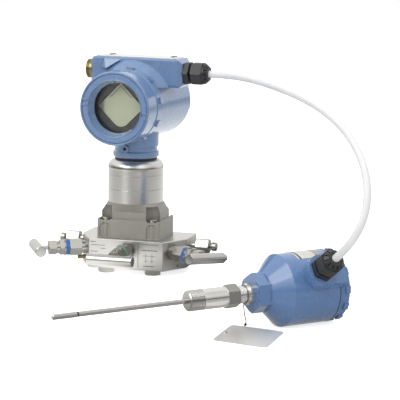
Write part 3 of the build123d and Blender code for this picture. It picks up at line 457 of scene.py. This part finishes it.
THREAD_STEPS = 24
THREAD_SINK = 0.1
THREAD_FLANK = 0.45


def thread(name, place, low, high, radius, depth, pitch, slot, body, look=None):
    """Helical ridge of a screw thread."""
    points, faces = [], []
    root, flank = radius - THREAD_SINK, THREAD_FLANK * pitch
    for k in range(int((high - low) / pitch * THREAD_STEPS) + 1):
        turn = 2 * pi * k / THREAD_STEPS
        along = low + pitch * k / THREAD_STEPS
        for r, shift in ((root, -flank), (radius + depth, 0.0), (root, flank)):
            points.append((r * cos(turn), r * sin(turn), along + shift))
        if k:
            a, b = 3 * k - 3, 3 * k
            faces += [(a, b, b + 1, a + 1), (a + 1, b + 1, b + 2, a + 2)]
    return mesh_piece(name, place, points, faces, slot, body, look)


# Display: its face and half width, its rounded foot, and the lines on and round it
LCD_FACE_Y, LCD_HALF = -52.6, 31.8
FOOT_CORNER, FOOT_CORNER_UP, FOOT_STEPS = 13.0, 1.414, 8
FOOT_IN, FOOT_TOP = 1.5, -2.0
BROW_OUT, BROW_PROUD, GAP_RADIUS = 0.3, 0.1, 0.6
CARET = ((-15.4, 14.8), (-14.0, 13.2), (0.0, 27.2), (14.0, 13.2), (15.4, 14.8))
CARET_PROUD, CARET_RADIUS = 0.3, 0.45


def display_marks():
    """Hairline caret on the display, and the dark gap over its face and round its foot."""
    def on_face(x, up, proud=0.0):
        return (x, LCD_FACE_Y - proud, BARREL_Z + up)

    caret = [on_face(x, up, CARET_PROUD) for x, up in CARET]
    edge = LCD_HALF + BROW_OUT
    brow = [on_face(x, up, BROW_PROUD) for x, up in ((-edge, 0.0), (0.0, edge), (edge, 0.0))]
    side = LCD_HALF - FOOT_IN
    foot = [on_face(side, FOOT_TOP)]
    for k in range(FOOT_STEPS + 1):
        turn = radians(-45 - 90 * k / FOOT_STEPS)
        foot.append(on_face(FOOT_CORNER * cos(turn),
                            -LCD_HALF + FOOT_CORNER_UP * FOOT_CORNER + FOOT_CORNER * sin(turn)))
    foot.append(on_face(-side, FOOT_TOP))
    for name, points, radius in (("display_caret", caret, CARET_RADIUS), ("display_brow", brow, GAP_RADIUS),
                                 ("display_gap", foot, GAP_RADIUS)):
        line_piece(name, HOUSING, points, radius, "black_plastic", "housing_body", own["blackened_screw"])


# Height of the display cover's front over the barrel's face, and (radius, along) profiles
COVER_TOP = 45.0
COVER_RIM = [(46.0, 15.5), (48.1, 16.5), (48.1, COVER_TOP - 1.6), (47.7, COVER_TOP - 0.3),
             (46.9, COVER_TOP + 0.5), (46.0, COVER_TOP + 0.5), (45.3, COVER_TOP - 0.1),
             (45.0, COVER_TOP - 0.6)]
COVER_BEAD = [(36.2, COVER_TOP - 0.5), (36.5, COVER_TOP + 0.3), (37.1, COVER_TOP + 0.6),
              (37.8, COVER_TOP + 0.3), (38.1, COVER_TOP - 0.5)]
COVER_PAD_TURNS = (170.0, 350.0)
COVER_PAD = [((41.9, side, COVER_TOP + 0.1), (7.0, 3.2, 0.9)) for side in (3.6, -3.6)]
PLUG_RIB_COUNT, PLUG_RIB_START, PLUG_RIB_PITCH = 3, 6.2, 0.95
PLUG_RIB = ((12.6, 0.0), (12.6, 0.55), (12.15, 0.6), (12.15, 0.9))
PLUG_FOOT, PLUG_END = [(12.0, 5.5)], [(11.4, 9.2), (6.0, 9.2), (6.0, 5.5)]
PROBE_GROOVE = [(2.52, -261.0), (2.8, -260.9), (2.8, -259.1), (2.52, -259.0)]
HEAD_SEAM = [(43.15, 61.0), (43.45, 61.2), (43.45, 62.0), (43.15, 62.2)]


def rings():
    """The display cover's rim, bead and pads, the plug's ribs, the probe's groove and the head's seam."""
    turned_piece("cover_rim", COVER, COVER_RIM, "blue_paint", "display_cover_body")
    turned_piece("cover_bead", COVER, COVER_BEAD, "blue_paint", "display_cover_body")
    for k, turn in enumerate(COVER_PAD_TURNS):
        boxes("cover_pad_%d" % k, COVER @ Matrix.Rotation(radians(turn), 4, "Z"), COVER_PAD, "blue_paint",
              "display_cover_body")
    ribs = [(r, PLUG_RIB_START + k * PLUG_RIB_PITCH + up)
            for k in range(PLUG_RIB_COUNT) for r, up in PLUG_RIB]
    turned_piece("plug_ribs", LEFT_ENTRY, PLUG_FOOT + ribs + PLUG_END, "plug_brass", "housing_body")
    turned_piece("probe_groove", SENSOR, PROBE_GROOVE, "black_seal", "probe_body", steps=32)
    turned_piece("head_seam", SENSOR, HEAD_SEAM, "black_seal", "housing_body")


# Engraved rules on the manifold's front: (x, z, width, height), and how they lie on the face
FRONT_RULES = (
    (17.0, 20.0, 0.7, 33.0), (33.5, 34.6, 23.0, 0.6), (33.0, 27.0, 22.0, 1.0), (32.0, 6.0, 15.0, 1.0),
    (27.8, 16.5, 0.5, 12.0), (36.2, 16.5, 0.5, 12.0), (32.0, 19.6, 17.0, 0.5), (28.0, 13.0, 4.5, 0.5),
    (36.0, 13.0, 4.5, 0.5), (-45.5, 34.6, 7.5, 0.8), (-38.5, 30.3, 19.5, 0.7), (-31.5, 26.2, 7.0, 0.7),
    (-44.0, 21.6, 10.0, 0.8))
RULE_Y, RULE_DEPTH = -41.02, 0.1


def front_engraving():
    """Plain engraved rules on the manifold's front: a divider, a flow sketch and blank lines."""
    boxes("front_engraving", CAD, [((x, RULE_Y, z), (w, RULE_DEPTH, h)) for x, z, w, h in FRONT_RULES],
          "block_steel", "wetside", own["engraving"])


PLATE_SLOTS = [((x, 0.0, 279.9), (5.2, 0.9, 1.0)) for x in (-32.0, 54.0)]
WEB_POINTS = [(-44.0, -19.0, 264.0), (-38.5, -19.0, 275.8), (-12.0, -19.0, 275.8), (-33.5, -27.0, 262.5),
              (-30.0, -19.0, 262.5)]
WEB_FACES = [(0, 3, 1), (1, 3, 2), (0, 1, 2, 4), (0, 4, 3), (4, 2, 3)]
KNOT_AT, KNOT_RADIUS = Vector((239.0, -320.4, 2.2)) * MM, 1.7 * MM


def small_details():
    """The adapter's thread, the top plate's screw slots, the web by the left entry and the wire's knot."""
    thread("adapter_thread", SENSOR, low=-119.2, high=-102.6, radius=12.0, depth=0.45, pitch=1.8,
           slot="turned_steel", body="housing_body", look=own["turned_probe"])
    boxes("plate_slots", HOUSING, PLATE_SLOTS, "black_plastic", "housing_body", own["blackened_screw"])
    mesh_piece("housing_web", HOUSING, WEB_POINTS, WEB_FACES, "blue_paint", "housing_body")
    bpy.ops.mesh.primitive_uv_sphere_add(segments=20, ring_count=12, radius=KNOT_RADIUS, location=KNOT_AT)
    knot = bpy.context.object
    knot.name = "wire_knot"
    knot.data.materials.append(own["blackened_screw"])
    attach(knot, "housing_body")


def spline_curve(name, points, radius, slot, body):
    """Smooth curve with the CAD route's corners as its control points."""
    data = bpy.data.curves.new(name, "CURVE")
    data.dimensions = "3D"
    data.resolution_u = 24
    data.bevel_depth = radius
    data.bevel_resolution = 8
    spline = data.splines.new("NURBS")
    spline.points.add(len(points) - 1)
    for point, co in zip(spline.points, points):
        point.co = (*co, 1)
    spline.order_u = 3
    spline.use_endpoint_u = True
    return add_piece(name, data, slot, body)


CABLE_RADIUS = 4.7 * MM
CABLE_ROUTE = [Vector(p) * MM for p in (
    (93.771, -6.557, 258.9), (125.294, -8.761, 258.9),
    (162.0, -26.0, 257.0), (210.0, -69.0, 252.0), (257.0, -120.0, 245.0), (302.0, -170.0, 232.0),
    (340.0, -222.0, 211.0), (366.0, -272.0, 186.0), (378.0, -308.0, 156.0), (375.0, -326.0, 127.0),
    (355.872, -322.093, 97.401), (337.096, -302.970, 80.659))]
WIRE_RADIUS = 0.7 * MM
WIRE_ROUTE = [Vector(p) * MM for p in (
    (232.840, -306.670, 23.008), (234.6, -310.6, 12.0), (240.0, -317.5, 3.5), (236.0, -326.5, -4.0),
    (228.5, -337.0, -6.2), (224.6, -345.0, -5.4), (223.7, -350.0, -1.6))]


def cords():
    cable = spline_curve("signal_cable", CABLE_ROUTE, CABLE_RADIUS, "cable_jacket", "housing_body")
    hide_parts("cable")
    wire = spline_curve("tie_wire", WIRE_ROUTE, WIRE_RADIUS, "wire_steel", "housing_body")
    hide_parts("tag_wire")


camera()
room()
lamps()
paper()
dress_nodes()
cords()
display_marks()
rings()
front_engraving()
small_details()

scene.view_settings.view_transform = "Standard"
